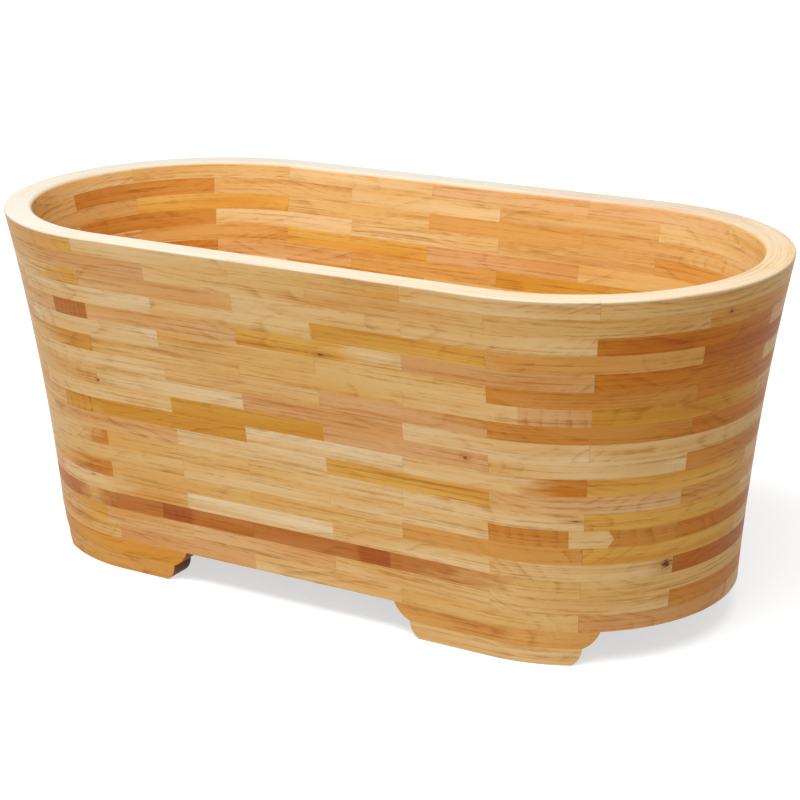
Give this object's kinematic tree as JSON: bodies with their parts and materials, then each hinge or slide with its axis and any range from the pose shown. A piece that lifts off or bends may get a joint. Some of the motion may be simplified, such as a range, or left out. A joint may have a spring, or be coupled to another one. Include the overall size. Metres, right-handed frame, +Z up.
{
  "type": "japanese soaking tub",
  "caption": "Free-standing wooden soaking tub with half-round ends, flared walls of stacked glued blocks, boarded floor, four feet and a lift-up drain plug.",
  "frame": {"origin": "on the ground, under the middle of the tub", "axes": "+X along the tub toward the waste end, +Y across the tub toward the back, +Z up"},
  "size_m": [1.4988, 0.7348, 0.6405],
  "materials": {
    "wall_wood": "satin oil over fine sanding",
    "foot_wood": "satin oil over fine sanding",
    "floor_wood": "satin oil over fine sanding",
    "batten_wood": "planed, unfinished",
    "screw_steel": "plain stainless",
    "bright_chrome": "polished plating",
    "black_rubber": "matte",
    "white_plastic": "moulded",
    "brass": "turned, unpolished"
  },
  "bodies": {
    "tub": {"course_01": "wall_wood", "course_02": "wall_wood", "course_03": "wall_wood", "course_04": "wall_wood", "course_05": "wall_wood", "course_06": "wall_wood", "course_07": "wall_wood", "course_08": "wall_wood", "course_09": "wall_wood", "course_10": "wall_wood", "course_11": "wall_wood", "course_12": "wall_wood", "course_13": "wall_wood", "course_14": "wall_wood", "course_15": "wall_wood", "course_16": "wall_wood", "course_17": "wall_wood", "course_18": "wall_wood", "rim_course": "wall_wood", "foot_front_left_lower": "foot_wood", "foot_front_left_upper": "foot_wood", "foot_front_right_lower": "foot_wood", "foot_front_right_upper": "foot_wood", "foot_back_left_lower": "foot_wood", "foot_back_left_upper": "foot_wood", "foot_back_right_lower": "foot_wood", "foot_back_right_upper": "foot_wood", "floor_board_1": "floor_wood", "floor_board_2": "floor_wood", "floor_board_3": "floor_wood", "floor_board_4": "floor_wood", "floor_board_5": "floor_wood", "batten_left": "batten_wood", "batten_middle": "batten_wood", "batten_right": "batten_wood", "batten_screws": "screw_steel", "waste_flange": "bright_chrome", "top_gasket": "black_rubber", "under_gasket": "black_rubber", "slip_washer": "white_plastic", "locknut": "brass", "tail_washer": "black_rubber", "tailpiece": "bright_chrome", "slip_nut": "brass", "plug_post": "screw_steel"},
    "plug": {"plug_cap": "bright_chrome", "plug_seal": "black_rubber", "plug_sleeve": "white_plastic"}
  },
  "joints": [
    {"name": "plug_lift", "type": "slide", "parent": "tub", "child": "plug", "axis": [0, 0, 1], "range_m": [0, 0.009]}
  ]
}
